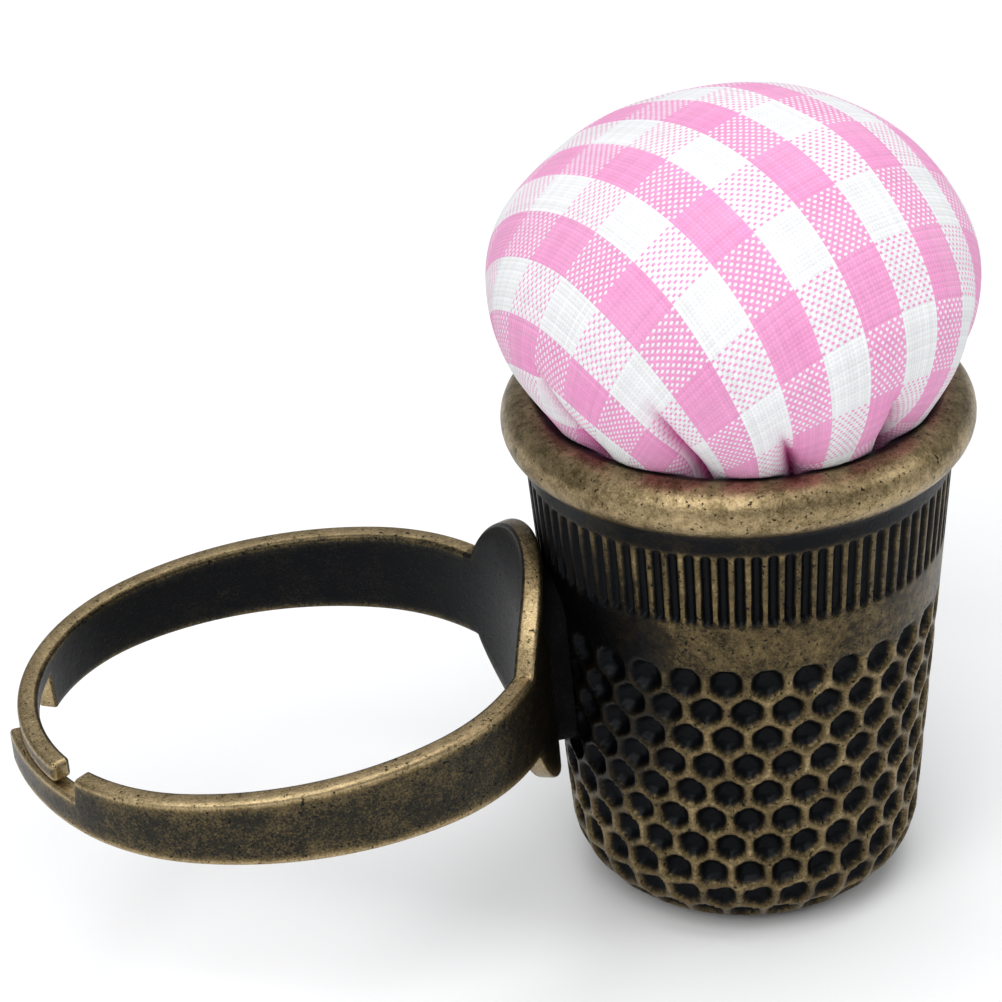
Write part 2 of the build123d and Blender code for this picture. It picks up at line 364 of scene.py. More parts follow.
# ---- meshes ----
def make_piece(name, points, faces, material, sharp, **values):
    """A mesh from points in millimetres, with a number at each vertex for each keyword. Edges
    that turn by more than sharp degrees stay sharp."""
    mesh = bpy.data.meshes.new(name)
    mesh.from_pydata((np.asarray(points, float) * MM).tolist(), [], faces)
    for value_name, numbers in values.items():
        layer = mesh.attributes.new(value_name, "FLOAT", "POINT")
        layer.data.foreach_set("value", np.asarray(numbers, np.float32))
    tidy = bmesh.new()
    tidy.from_mesh(mesh)
    bmesh.ops.recalc_face_normals(tidy, faces=tidy.faces)
    tidy.to_mesh(mesh)
    tidy.free()
    mesh.polygons.foreach_set("use_smooth", [True] * len(mesh.polygons))
    mesh.set_sharp_from_angle(angle=radians(sharp))
    mesh.materials.append(material)
    piece = bpy.data.objects.new(name, mesh)
    bpy.context.scene.collection.objects.link(piece)
    return piece


def stitch(counts):
    """Faces of a surface of stacked rings, where neighbouring rings have the same number of
    points, or half or twice as many, and a ring of one point is a pole."""
    faces = []
    start = 0
    for lower, upper in zip(counts, counts[1:]):
        above = start + lower
        if lower == upper:
            for i in range(lower):
                j = (i + 1) % lower
                faces.append((start + i, start + j, above + j, above + i))
        elif 1 in (lower, upper):
            pole, ring, many = (start, above, upper) if lower == 1 else (above, start, lower)
            faces += [(pole, ring + i, ring + (i + 1) % many) for i in range(many)]
        else:
            few, many = min(lower, upper), max(lower, upper)
            coarse, fine = (start, above) if lower < upper else (above, start)
            for i in range(few):
                a, b = coarse + i, coarse + (i + 1) % few
                f, g, h = fine + 2 * i, fine + 2 * i + 1, fine + (2 * i + 2) % many
                faces += [(f, g, a), (g, b, a), (g, h, b)]
        start = above
    return faces


def smooth_step(value, low, high):
    share = np.clip((value - low) / (high - low), 0, 1)
    return share * share * (3 - 2 * share)


# ---- thimble ----
def wall_radius(height):
    return END_RADIUS + height * tan(TAPER)


def outer_face(travel, top=DIMPLE_TOP_ROW):
    """Radius, height and slope at a distance down the outer face from a height."""
    corner_axis = wall_radius(CORNER_RADIUS) - CORNER_RADIUS / cos(TAPER)
    corner_top = CORNER_RADIUS * (1 - sin(TAPER))
    straight = (top - corner_top) / cos(TAPER)
    if travel <= straight:
        height = top - travel * cos(TAPER)
        return wall_radius(height), height, TAPER
    slope = TAPER + (travel - straight) / CORNER_RADIUS
    if slope <= pi / 2:
        radius = corner_axis + CORNER_RADIUS * cos(slope)
        return radius, CORNER_RADIUS * (1 - sin(slope)), slope
    corner_length = CORNER_RADIUS * (pi / 2 - TAPER)
    return max(corner_axis - (travel - straight - corner_length), 0.0), 0.0, pi / 2


def dimple_centres():
    """The middle of every dimple, row by row from the top to the closed end."""
    centres = []
    row = 0
    radius, height, _ = outer_face(0)
    while radius > DIMPLE_END_PITCH / 2:
        count = min(DIMPLES_AROUND, round(2 * pi * radius / DIMPLE_END_PITCH))
        if height > CORNER_RADIUS:
            count = DIMPLES_AROUND
        for place in range(count):
            angle = 2 * pi * (place + row % 2 / 2) / count
            centres.append((radius * cos(angle), radius * sin(angle), height))
        row += 1
        radius, height, _ = outer_face(row * DIMPLE_ROW_STEP)
    return np.array(centres)


def dimple_press(points):
    """How far each point is inside a dimple, from 0 on the webs to 1 on a floor, its
    patina, and how near it is to a web's crest."""
    centres = dimple_centres()
    tree = kdtree.KDTree(len(centres))
    for i, centre in enumerate(centres):
        tree.insert(centre, i)
    tree.balance()
    near = np.array([[found[1] for found in tree.find_n(point, 7)] for point in points.tolist()])
    own = centres[near[:, 0]]
    to_rim = DIMPLE_REACH + WEB / 2 - np.linalg.norm(points - own, axis=1)
    to_edge = np.exp(-CELL_SHARPNESS * to_rim)
    for other in range(1, 7):
        towards = centres[near[:, other]] - own
        length = np.linalg.norm(towards, axis=1)
        halfway = own + towards / 2
        edge = np.einsum("ij,ij->i", halfway - points, towards) / length
        to_edge += np.exp(-CELL_SHARPNESS * edge)
    inside = -np.log(to_edge) / CELL_SHARPNESS - WEB / 2
    crest = np.exp(-((np.maximum(inside + WEB / 2, 0) / CREST_WIDTH) ** 2))
    hollow = np.clip((inside + 0.02) / DIMPLE_SIDE, 0, 1)
    return hollow * (2 - hollow), smooth_step(inside, PATINA_START, PATINA_FULL), crest


def flute_press(turn, height):
    """How far each point is inside a groove: 0 on the ribs, 1 on a groove's floor."""
    across = np.abs((turn * FLUTES) % 1 - 0.5) * 2  # 0 in the middle of a rib
    groove = smooth_step(across, RIB_SHARE - 0.06, RIB_SHARE + 0.28)
    bottom = smooth_step(height, FLUTE_BOTTOM - FLUTE_RUN_OUT, FLUTE_BOTTOM + FLUTE_RUN_OUT)
    top = 1 - smooth_step(height, FLUTE_TOP - FLUTE_RUN_OUT, FLUTE_TOP + FLUTE_RUN_OUT)
    return groove * bottom * top


def columns_at(radius):
    """Fewer columns towards the middle of the closed end."""
    count = COLUMNS
    while count > 10 and radius < count / COLUMNS * END_COLUMNS_RADIUS:
        count //= 2
    return count


def thimble_stations():
    """Radius, height, outward slope and columns, from the middle of the closed end up the
    outside, over the bead and down the inside."""
    stations = [(0.0, 0.0, pi / 2, 1)]
    travels = np.arange(0, 2 * THIMBLE_HEIGHT, ROW_STEP)
    face = [outer_face(travel, PATTERN_TOP) for travel in travels]
    face = [station for station in face if station[0] > ROW_STEP / 2]
    stations += [(r, z, slope, columns_at(r)) for r, z, slope in reversed(face)]
    heights = [
        *BAND_ROWS,
        *np.arange(FLUTE_BOTTOM - 0.24, FLUTE_BOTTOM + 0.3, FLUTE_END_STEP),
        *np.linspace(FLUTE_BOTTOM + 0.6, FLUTE_TOP - 0.6, 4),
        *np.arange(FLUTE_TOP - 0.28, FLUTE_TOP + 0.3, FLUTE_END_STEP),
        *NECK_ROWS,
    ]
    stations += [(wall_radius(z), z, TAPER, COLUMNS) for z in heights]
    for angle in np.linspace(BEAD_FROM, BEAD_TO, BEAD_ROWS):
        turn = radians(angle)
        radius = BEAD_CENTRE + BEAD_RADIUS * cos(turn)
        stations.append((radius, BEAD_HEIGHT + BEAD_RADIUS * sin(turn), -turn, COLUMNS // 2))
    inner = wall_radius(0) - WALL / cos(TAPER)
    corner = CORNER_RADIUS - WALL
    corner_axis = wall_radius(CORNER_RADIUS) - CORNER_RADIUS / cos(TAPER)
    inside = [(inner + z * tan(TAPER), z) for z in INSIDE_ROWS]
    for step in range(INSIDE_CORNER_STEPS + 1):
        slope = TAPER + (pi / 2 - TAPER) * step / INSIDE_CORNER_STEPS
        inside.append((corner_axis + corner * cos(slope), CORNER_RADIUS - corner * sin(slope)))
    inside.append((1.8, WALL))
    stations += [(r, z, None, COLUMNS // 4) for r, z in inside]
    stations.append((0.0, WALL, None, 1))
    return stations


def thimble_points(stations):
    """Points, outward directions, turns from 0 to 1 and zones: 0 is the wall and the closed end
    outside, 1 is the bead and 2 is the inside."""
    points, outward, turns, zone = [], [], [], []
    for radius, height, slope, count in stations:
        lean = slope or 0.0
        on_bead = count == COLUMNS // 2 and height > PATTERN_TOP
        part = 2 if slope is None else 1 if on_bead else 0
        for column in range(count):
            turn = column / count
            angle = 2 * pi * turn
            points.append((radius * cos(angle), radius * sin(angle), height))
            outward.append((cos(lean) * cos(angle), cos(lean) * sin(angle), -sin(lean)))
            turns.append(turn)
            zone.append(part)
    return np.array(points), np.array(outward), np.array(turns), np.array(zone)


def make_thimble():
    stations = thimble_stations()
    points, outward, turns, zone = thimble_points(stations)
    wall, bead = zone == 0, zone == 1
    depth, pit = np.zeros(len(points)), np.zeros(len(points))
    heights = points[:, 2]
    pressed = wall & (heights < DIMPLE_TOP_ROW + 1)
    press, pit[pressed], crest = dimple_press(points[pressed])
    depth[pressed] = DIMPLE_DEPTH * press
    fluted = wall & (heights > FLUTE_BOTTOM - 0.5)
    grooves = flute_press(turns[fluted], heights[fluted])
    depth[fluted] = FLUTE_DEPTH * grooves
    pit[fluted] = GROOVE_PATINA * grooves
    points = points - outward * depth[:, None]

    radii, heights = np.hypot(points[:, 0], points[:, 1]), points[:, 2]
    # wear, with painted shade and painted light added below
    worn = np.select([wall, bead], [WALL_WORN, BEAD_WORN], INSIDE_WORN)
    among = smooth_step(DIMPLE_TOP_ROW + 0.6 - heights[pressed], 0.0, 0.4)
    worn[pressed] += CREST_WORN * crest * among
    from_pad = np.degrees(np.abs((turns * 2 * pi) % (2 * pi) - pi))
    # the wall is darkened towards the pad: painted shade of the pad and the ring
    from_pad_shade = np.hypot(from_pad / PAD_SHADE_TURN, (heights - PAD_SHADE_MIDDLE) / PAD_SHADE_REACH)
    worn -= wall * WALL_WORN * (1 - smooth_step(from_pad_shade, 0.85, 1.3))
    # painted shade under the bead's overhang, on the neck and on the bead's underside
    neck = wall & (heights > FLUTE_TOP + 0.05)
    up_neck = smooth_step(heights[neck], FLUTE_TOP, FLUTE_TOP + 0.3)
    worn[neck] = NECK_WORN - NECK_PAINTED_SHADE * up_neck
    under = bead & (heights < BEAD_HEIGHT)
    down_bead = smooth_step(BEAD_HEIGHT - heights[under], 0.5, 1.1)
    worn[under] = BEAD_WORN - UNDER_BEAD_PAINTED_SHADE * down_bead
    # the bead darkens past its crest into the mouth: patina on its inner edge and painted shade of
    # the ball
    mouth = bead & (radii < BEAD_CENTRE)
    into_mouth = smooth_step(BEAD_CENTRE - radii[mouth], 0.0, 0.35)
    worn[mouth] = BEAD_WORN - IN_MOUTH_PATINA_AND_SHADE * into_mouth
    # painted light and shade on the ribs: lighter towards the key light, darker elsewhere
    lit_side = (0.5 + 0.5 * np.cos(turns[fluted] * 2 * pi - RIB_LIGHT_TURN)) ** 2
    on_ribs = (1 - grooves) * smooth_step(heights[fluted], FLUTE_BOTTOM, FLUTE_BOTTOM + 0.2)
    worn[fluted] += (RIB_PAINTED_LIGHT * lit_side - RIB_PAINTED_SHADE) * on_ribs

    faces = stitch([count for _, _, _, count in stations])
    piece = make_piece("thimble_body", points, faces, thimble_bronze, 60.0, worn=worn, pit=pit)
    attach(piece, "thimble")
    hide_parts("thimble_cup")


# ---- finger ring ----
EDGE_ROUND = 0.17
CORNER_STEPS = 4
FACE_STEPS = 14
STATION_STEP = 0.22
TIP_ROUND = 0.22
TIP_STATIONS = 7
SHOULDER_RUN = 0.1  # half the length over which the strip narrows to its tongue
SHOULDER_STATIONS = 21
PAD_STATIONS = 81
BEND_LENGTH = 1.4  # of the arm's root

RING_WORN = 0.36
EDGE_WORN = 0.46  # added at the strip's edges
EDGE_WORN_WIDTH = 0.13
INNER_PATINA = 0.34  # on the face that lies on the finger
PAD_PAINTED_SHADE = 0.2  # painted shade, taken from the pad towards the top on the back arm's side


def band_half_height(x):
    share = (RING_HALF_LENGTH - x) / (2 * RING_HALF_LENGTH)
    return (HEIGHT_AT_PAD + share * (HEIGHT_AT_CLOSURE - HEIGHT_AT_PAD)) / 2


def strip_section(low, high, shrink=0.0):
    """(out, up) round the strip's section, starting at its outer lower edge."""
    half = STRIP / 2 - shrink
    round_by = max(EDGE_ROUND - shrink, 0.02)
    low, high = low + shrink, high - shrink
    corners = (
        (half - round_by, low + round_by, -90),
        (half - round_by, high - round_by, 0),
        (round_by - half, high - round_by, 90),
        (round_by - half, low + round_by, 180),
    )
    points = []
    for number, (out, up, start) in enumerate(corners):
        for step in range(CORNER_STEPS + 1):
            angle = radians(start + 90 * step / CORNER_STEPS)
            points.append((out + round_by * cos(angle), up + round_by * sin(angle)))
        if number in (0, 2):
            ends = (low + round_by, high - round_by)
            first, last = ends if number == 0 else ends[::-1]
            side = half if number == 0 else -half
            for step in range(1, FACE_STEPS):
                points.append((side, first + (last - first) * step / FACE_STEPS))
    return points


def arc_stations(centre, radius, start, sweep):
    """(x, y, outward x, outward y) along a bend, seen from above, in the ring's plane."""
    count = max(2, ceil(abs(radians(sweep)) * radius / STATION_STEP))
    stations = []
    for step in range(count + 1):
        angle = radians(start + sweep * step / count)
        x, y = cos(angle), sin(angle)
        stations.append((centre[0] + radius * x, centre[1] + radius * y, x, y))
    return stations


def resample(stations, travels):
    """The stations at the given distances along their line."""
    line = np.array(stations)
    steps = np.linalg.norm(np.diff(line[:, :2], axis=0), axis=1)
    along = np.concatenate([[0], np.cumsum(steps)])
    keep = np.concatenate([[True], steps > 1e-6])
    return [np.interp(travels, along[keep], line[keep, i]) for i in range(4)], along[-1]


def strip_mesh(name, columns, sections, worn, inside):
    """A closed strip from one section at each station. columns are the stations' x, y and
    outward direction, and inside says which points lie on the inner face."""
    points = []
    for x, y, out_x, out_y, section in zip(*columns, sections):
        for out, up in section:
            points.append(tuple(ring_place @ Vector((x + out_x * out, y + out_y * out, up))))
    size = len(sections[0])
    faces = stitch([size] * len(sections))
    faces.append(tuple(range(size)))
    faces.append(tuple(range(len(points) - size, len(points))))
    worn, pit = np.ravel(worn), INNER_PATINA * np.ravel(inside)
    return make_piece(name, points, faces, ring_bronze, 50.0, worn=worn, pit=pit)


def edge_wear(distance):
    """How bare the metal is at a distance from the strip's edge."""
    return RING_WORN + EDGE_WORN * np.exp(-np.maximum(distance, 0) / EDGE_WORN_WIDTH)


def on_inner_face(out):
    return (out < EDGE_ROUND * 0.8 - STRIP / 2) * 1.0


def make_arm(side, body, node, shoulder, tongue, widening, low_side):
    """One arm, from the pad's edge round to its tongue. side is +1 for the back arm."""
    line = []
    for centre, radius, start, stop in (
        ((END_CENTRE, 0), MID_END_RADIUS, PAD_ANGLE, ARC_JOIN),
        ((0, -side * SIDE_CENTRE), MID_SIDE_RADIUS, ARC_JOIN, 180 - ARC_JOIN),
        ((-END_CENTRE, 0), MID_END_RADIUS, 180 - ARC_JOIN, shoulder),
    ):
        line += arc_stations(centre, radius, side * start, side * (stop - start))
    _, to_shoulder = resample(line, [0])
    turn = radians(side * shoulder)
    centre = (-END_CENTRE - widening * cos(turn), -widening * sin(turn))
    line += arc_stations(centre, MID_END_RADIUS + widening, side * shoulder, side * tongue)
    _, length = resample(line, [0])
    even = np.arange(0, length - TIP_ROUND, STATION_STEP)
    past = 3 * SHOULDER_RUN
    near_shoulder = np.linspace(to_shoulder - past, to_shoulder + past, SHOULDER_STATIONS)
    near_tip = length - TIP_ROUND * (1 - np.cos(np.linspace(0, pi / 2, TIP_STATIONS)[::-1]))
    travels = np.unique(np.round(np.concatenate([even, near_shoulder, near_tip]), 4))
    columns, _ = resample(line, travels)
    sections, worn, inside = [], [], []
    for travel, x in zip(travels, columns[0]):
        half = band_half_height(x)
        low, high = -half, half
        share = smooth_step(travel, to_shoulder - SHOULDER_RUN, to_shoulder + SHOULDER_RUN)
        if low_side:
            high += share * (LAP_HEIGHT - LAP_GAP / 2 - half)
        else:
            low += share * (LAP_HEIGHT + LAP_GAP / 2 + half)
        to_tip = max(TIP_ROUND - (length - travel), 0)
        shrink = TIP_ROUND - sqrt(max(TIP_ROUND**2 - to_tip**2, 0))
        section = strip_section(low, high, shrink)
        sections.append(section)
        out, up = np.array(section).T
        distance = np.minimum(up - low, high - up) - EDGE_ROUND
        distance = np.minimum(distance, length - travel)
        worn.append(edge_wear(distance))
        inside.append(on_inner_face(out))
    piece = strip_mesh(body + "_strip", columns, sections, worn, inside)

    def along(travel):
        """A place on the strip's middle line, in metres."""
        x, y = (np.interp(travel, travels, column) for column in columns[:2])
        return ring_place @ Vector((x, y, 0)) * MM

    start, stop = along(0), along(BEND_LENGTH)
    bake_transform(piece)
    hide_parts(node)


def make_pad():
    """The round pad in the middle of the strip, with the short stubs that the arms go on from."""
    meet = sqrt(PAD_RADIUS**2 - band_half_height(RING_HALF_LENGTH) ** 2)
    first = np.arccos(meet / PAD_RADIUS)
    round_part = PAD_RADIUS * np.cos(np.linspace(pi - first, first, PAD_STATIONS))
    stub = np.linspace(meet, PAD_STUB, 4)[1:]
    travels = np.concatenate([-stub[::-1], round_part, stub])
    angles = travels / MID_END_RADIUS
    x, y = np.cos(angles), np.sin(angles)
    columns = [END_CENTRE + MID_END_RADIUS * x, MID_END_RADIUS * y, x, y]
    sections, worn, inside = [], [], []
    for travel, place in zip(travels, columns[0]):
        band = band_half_height(place)
        disc = sqrt(max(PAD_RADIUS**2 - travel**2, 0))
        half = max(band, disc)
        section = strip_section(-half, half)
        sections.append(section)
        out, up = np.array(section).T
        distance = np.maximum(PAD_RADIUS - np.hypot(travel, up), band - np.abs(up)) - EDGE_ROUND
        # painted shade across part of the pad
        worn.append(edge_wear(distance) - PAD_PAINTED_SHADE * smooth_step(travel + up, 0.0, 3.0))
        inside.append(on_inner_face(out))
    piece = strip_mesh("ring_pad_disc", columns, sections, worn, inside)
    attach(piece, "thimble")
    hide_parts("ring_pad")


# ---- cushion ----
CLOTH_TILT_X = radians(-11.4)  # where the cloth's middle lies on the ball
CLOTH_TILT_Y = radians(-11.8)
WARP_TURN = radians(33.7)
WEFT_TURN = radians(122.5)
WARP_REPEAT = 3.88  # one pink and one white check
WEFT_REPEAT = 5.05
WARP_THREADS = 24  # in a repeat
WEFT_THREADS = 30
WARP_SHIFT = 0.509  # of a repeat
WEFT_SHIFT = 0.473
FLAT_STRETCH = -0.023  # at 10 mm from the cloth's middle
FLOAT_LENGTH = 0.52  # half the size of the weft's short floats, in threads
FLOAT_WIDTH = 0.3

PINK = (0.80, 0.28, 0.54)
PINK_LINE = (0.84, 0.58, 0.72)  # between two weft threads
WHITE = (0.80, 0.80, 0.81)
CREASE_SHADE_PINK = (0.60, 0.03, 0.28)  # painted shade deep in a crease
# painted shade deep in a crease, on white cloth
CREASE_SHADE_WHITE = (0.62, 0.05, 0.32)
CREASE_SHADE_WIDTH = 0.26
CREASE_SHADE_STRENGTH = 1.1

RIM_BULGE = 0.122  # share added where the ball bears on the bead
RIM_BULGE_SLOPE = 45.0  # degrees below the ball's middle
RIM_BULGE_SPREAD = 14.0
LEAN_TURN = radians(-10.2)  # the side that stands higher
TOP_SQUASH = 0.97
TOP_LEAN = 0.58
TOP_SHIFT_X = 0.25
TOP_SHIFT_Y = 0.34
TOP_RISE = (-2.0, 7.0)  # heights above the ball's middle over which the lean grows
SIDE_PINCH = -0.27
SIDE_PINCH_HEIGHT = -1.5
SHOULDER_DROP = -0.27
SHOULDER_LEAN = -0.31
SHOULDER_HEIGHT = 4.0
SHAPE_SPREAD = 2.5  # of the pinch and the shoulder, up and down
SETTLED = 0.28
SETTLED_RISE = (-6.0, -1.0)
BEAD_GAP = 0.05

BALL_GRID = 56
PRESSED_IN = 0.06  # how much smaller the ball is before its filling swells it
LUMPS = 0.1
PLEATS = 12
FRONT_PLEATS = 3  # the ones in the photo, evenly spaced
FIRST_PLEAT = radians(-124.6)
PLEAT_WANDER = 0.1  # radians
PLEAT_TWIST = radians(2.4)  # a pleat's turn for each millimetre down
PLEAT_TOP = 24.3
PLEAT_TOP_WANDER = 0.8
PLEAT_DEPTH = 0.5
PLEAT_WIDTH = 0.27
PLEAT_RUN = 2.6  # height over which a pleat deepens
CREASE_DEPTH = 0.6
CREASE_WIDTH = 0.15

SIM_SCALE = 0.1  # Blender units to a millimetre
SWELL_FRAMES = 20
SWELL_LIMIT = 0.3
HELD_BELOW = -6.6  # the underside, from the ball's middle, stays where it is


def cube_ball(count):
    """Directions of an even quad mesh over a ball, and its faces."""
    spots, index, faces = [], {}, []

    def spot(direction):
        key = tuple(np.round(direction, 6))
        if key not in index:
            index[key] = len(spots)
            spots.append(np.array(direction) / np.linalg.norm(direction))
        return index[key]

    steps = np.tan(np.linspace(-pi / 4, pi / 4, count + 1))
    for axis in range(3):
        for side in (-1, 1):
            grid = []
            for a in steps:
                row = []
                for b in steps:
                    direction = [0.0, 0.0, 0.0]
                    direction[axis] = side
                    direction[(axis + 1) % 3] = a
                    direction[(axis + 2) % 3] = b
                    row.append(spot(direction))
                grid.append(row)
            for i in range(count):
                for j in range(count):
                    square = (grid[i][j], grid[i + 1][j], grid[i + 1][j + 1], grid[i][j + 1])
                    faces.append(square if side > 0 else square[::-1])
    return np.array(spots), faces


def ball_surface(directions):
    """Points on the ball's section of three arcs, seen from the ball's middle."""
    sideways = np.hypot(directions[:, 0], directions[:, 1])
    upright = np.abs(directions[:, 2])
    inner = BALL_SIDE_CENTRE * sideways
    to_side = inner + np.sqrt(inner**2 - BALL_SIDE_CENTRE**2 + BALL_SIDE_RADIUS**2)
    lift = CAP_CENTRE * upright
    to_cap = -lift + np.sqrt(lift**2 - CAP_CENTRE**2 + BALL_CAP_RADIUS**2)
    at_side = np.arctan2(to_side * upright, to_side * sideways - BALL_SIDE_CENTRE) <= CAP_JOIN
    return directions * np.where(at_side, to_side, to_cap)[:, None]


def from_the_top(points):
    """Distance over the ball from its top, for points measured from its middle."""
    radius = np.hypot(points[:, 0], points[:, 1])
    height = points[:, 2]
    cap_turn = np.arctan2(radius, np.abs(height) + CAP_CENTRE)
    side_turn = np.arctan2(height, radius - BALL_SIDE_CENTRE)
    cap_length = BALL_CAP_RADIUS * (pi / 2 - CAP_JOIN)
    along_side = cap_length + BALL_SIDE_RADIUS * (CAP_JOIN - side_turn)
    whole = 2 * (cap_length + BALL_SIDE_RADIUS * CAP_JOIN)
    in_cap = cap_turn <= pi / 2 - CAP_JOIN
    top = BALL_CAP_RADIUS * cap_turn
    return np.where(in_cap & (height > 0), top, np.where(in_cap, whole - top, along_side))


def threads_at(points):
    """Which warp and weft thread of the flat cloth lies at each point of the ball."""
    tilt = Matrix.Rotation(CLOTH_TILT_X, 3, "X") @ Matrix.Rotation(CLOTH_TILT_Y, 3, "Y")
    turned = points @ np.array(tilt).T
    angle = np.arctan2(turned[:, 1], turned[:, 0])
    reach = from_the_top(turned)
    reach = reach * (1 + FLAT_STRETCH * (reach / 10) ** 2)
    flat_x, flat_y = reach * np.cos(angle), reach * np.sin(angle)
    warp = flat_x * cos(WARP_TURN) + flat_y * sin(WARP_TURN)
    weft = flat_x * cos(WEFT_TURN) + flat_y * sin(WEFT_TURN)
    return (
        (warp / WARP_REPEAT - WARP_SHIFT + 0.25) * WARP_THREADS,
        (weft / WEFT_REPEAT - WEFT_SHIFT + 0.25) * WEFT_THREADS,
    )


def stuffed_shape(points):
    """The hand-stuffed ball: fuller over the rim, leaning, with its shoulders drawn down."""
    slope = np.degrees(np.arctan2(-points[:, 2], np.hypot(points[:, 0], points[:, 1])))
    bulge = RIM_BULGE * np.exp(-(((slope - RIM_BULGE_SLOPE) / RIM_BULGE_SPREAD) ** 2))
    x, y, z = (points * (1 + bulge)[:, None]).T
    aside = (x * cos(LEAN_TURN) + y * sin(LEAN_TURN)) / BALL_RADIUS
    rise = smooth_step(z, *TOP_RISE)
    at_pinch = np.exp(-(((z - SIDE_PINCH_HEIGHT) / SHAPE_SPREAD) ** 2))
    at_shoulder = np.exp(-(((z - SHOULDER_HEIGHT) / SHAPE_SPREAD) ** 2))
    pinch = SIDE_PINCH * np.maximum(aside, 0) * at_pinch
    shoulder = (SHOULDER_DROP + SHOULDER_LEAN * aside) * at_shoulder
    wide = 1 + (pinch + shoulder) / BALL_RADIUS
    high = np.where(z > 0, z * TOP_SQUASH, z) + rise * TOP_LEAN * aside
    high -= SETTLED * smooth_step(z, *SETTLED_RISE)
    return np.stack([x * wide - TOP_SHIFT_X * rise, y * wide - TOP_SHIFT_Y * rise, high], axis=1)


def pleat_press(points, depth, width):
    """How far each point of the ball is drawn in by a pleat, in millimetres."""
    height = points[:, 2] + BALL_HEIGHT
    radius = np.hypot(points[:, 0], points[:, 1])
    turn = np.arctan2(points[:, 1], points[:, 0])
    deepest = np.zeros(len(points))
    for number in range(PLEATS):
        wander = PLEAT_WANDER * sin(5.1 * number) if number >= FRONT_PLEATS else 0.0
        top = PLEAT_TOP + PLEAT_TOP_WANDER * cos(2.3 * number)
        line = FIRST_PLEAT + 2 * pi * number / PLEATS + wander
        line = line + PLEAT_TWIST * (top - height)
        aside = (turn - line + pi) % (2 * pi) - pi
        distance = np.abs(aside) * radius
        share = smooth_step(top - height, 0.0, PLEAT_RUN)
        deepest = np.maximum(deepest, share * depth * np.exp(-distance / width))
    return deepest


def clear_of_bead(points):
    """The points, with those inside the thimble's bead brought out to its surface."""
    radius = np.hypot(points[:, 0], points[:, 1])
    out, up = radius - BEAD_CENTRE, points[:, 2] - BEAD_HEIGHT
    distance = np.hypot(out, up)
    push = np.maximum(distance, BEAD_RADIUS + BEAD_GAP) / distance
    share = (BEAD_CENTRE + out * push) / radius
    return np.stack([points[:, 0] * share, points[:, 1] * share, BEAD_HEIGHT + up * push], axis=1)


def swell(points, faces, held):
    """The points after the filling's pressure has rounded the cloth between its held points."""
    mesh = bpy.data.meshes.new("swelling")
    mesh.from_pydata((points * SIM_SCALE).tolist(), [], faces)
    ball = bpy.data.objects.new("swelling", mesh)
    bpy.context.scene.collection.objects.link(ball)
    group = ball.vertex_groups.new(name="held")
    for vertex in np.flatnonzero(held > 0):
        group.add([int(vertex)], float(held[vertex]), "REPLACE")
    cloth = ball.modifiers.new("cloth", "CLOTH")
    cloth.collision_settings.use_collision = False
    how = cloth.settings
    how.quality = 6
    how.mass = 0.3
    how.tension_stiffness = 12
    how.compression_stiffness = 12
    how.shear_stiffness = 5
    how.bending_stiffness = 0.4
    how.use_pressure = True
    how.uniform_pressure_force = 6
    how.effector_weights.gravity = 0
    how.vertex_group_mass = "held"
    scene = bpy.context.scene
    cloth.point_cache.frame_start = 1
    cloth.point_cache.frame_end = SWELL_FRAMES
    for frame_number in range(1, SWELL_FRAMES + 1):
        scene.frame_set(frame_number)
    evaluated = ball.evaluated_get(bpy.context.evaluated_depsgraph_get())
    after = np.empty(len(points) * 3)
    evaluated.data.vertices.foreach_get("co", after)
    bpy.data.objects.remove(ball)
    scene.frame_set(1)
    moved = after.reshape(-1, 3) / SIM_SCALE - points
    length = np.linalg.norm(moved, axis=1)[:, None]
    return points + moved * np.minimum(1, SWELL_LIMIT / np.maximum(length, 1e-9))


def get_points(mesh):
    """The mesh's points in millimetres."""
    points = np.empty(len(mesh.vertices) * 3)
    mesh.vertices.foreach_get("co", points)
    return points.reshape(-1, 3) / MM


def set_points(mesh, points):
    mesh.vertices.foreach_set("co", (points * MM).ravel())
    mesh.update()


def subdivide(piece):
    rounding = piece.modifiers.new("rounding", "SUBSURF")
    rounding.levels = rounding.render_levels = 1
    evaluated = piece.evaluated_get(bpy.context.evaluated_depsgraph_get())
    rounded = bpy.data.meshes.new_from_object(evaluated)
    piece.modifiers.clear()
    piece.data = rounded


def make_cushion():
    directions, faces = cube_ball(BALL_GRID)
    points = ball_surface(directions)
    pleats = pleat_press(points, PLEAT_DEPTH, PLEAT_WIDTH)
    lumps = LUMPS * np.sin(points[:, 0] * 0.9 + 1.3) * np.sin(points[:, 1] * 0.8 + 0.4)
    points = points - directions * (PRESSED_IN + pleats - lumps)[:, None]
    points = stuffed_shape(points)
    from_middle = points / np.linalg.norm(points, axis=1)[:, None]
    warp, weft = threads_at(ball_surface(from_middle))
    held = np.clip(pleats / PLEAT_DEPTH * 1.6 - 0.5, 0, 1)
    held = np.maximum(held, points[:, 2] < HELD_BELOW)
    points = swell(points, faces, held)
    points[:, 2] += BALL_HEIGHT
    threads = {"warp": warp, "weft": weft, "drawn": 0 * warp}
    piece = make_piece("gingham_ball", points, faces, gingham, 180.0, **threads)
    subdivide(piece)
    cloth = get_points(piece.data)
    middle = np.array((0, 0, BALL_HEIGHT))
    inward = middle - cloth
    inward /= np.linalg.norm(inward, axis=1)[:, None]
    creases = pleat_press(cloth - middle, 1.0, CREASE_WIDTH)
    cloth += inward * CREASE_DEPTH * creases[:, None]
    # painted shade along the creases
    drawn = CREASE_SHADE_STRENGTH * pleat_press(cloth - middle, 1.0, CREASE_SHADE_WIDTH)
    piece.data.attributes["drawn"].data.foreach_set("value", drawn.astype(np.float32))
    set_points(piece.data, clear_of_bead(cloth))
    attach(piece, "thimble")
    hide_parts("cushion_cover")
    make_stuffing(points, faces)


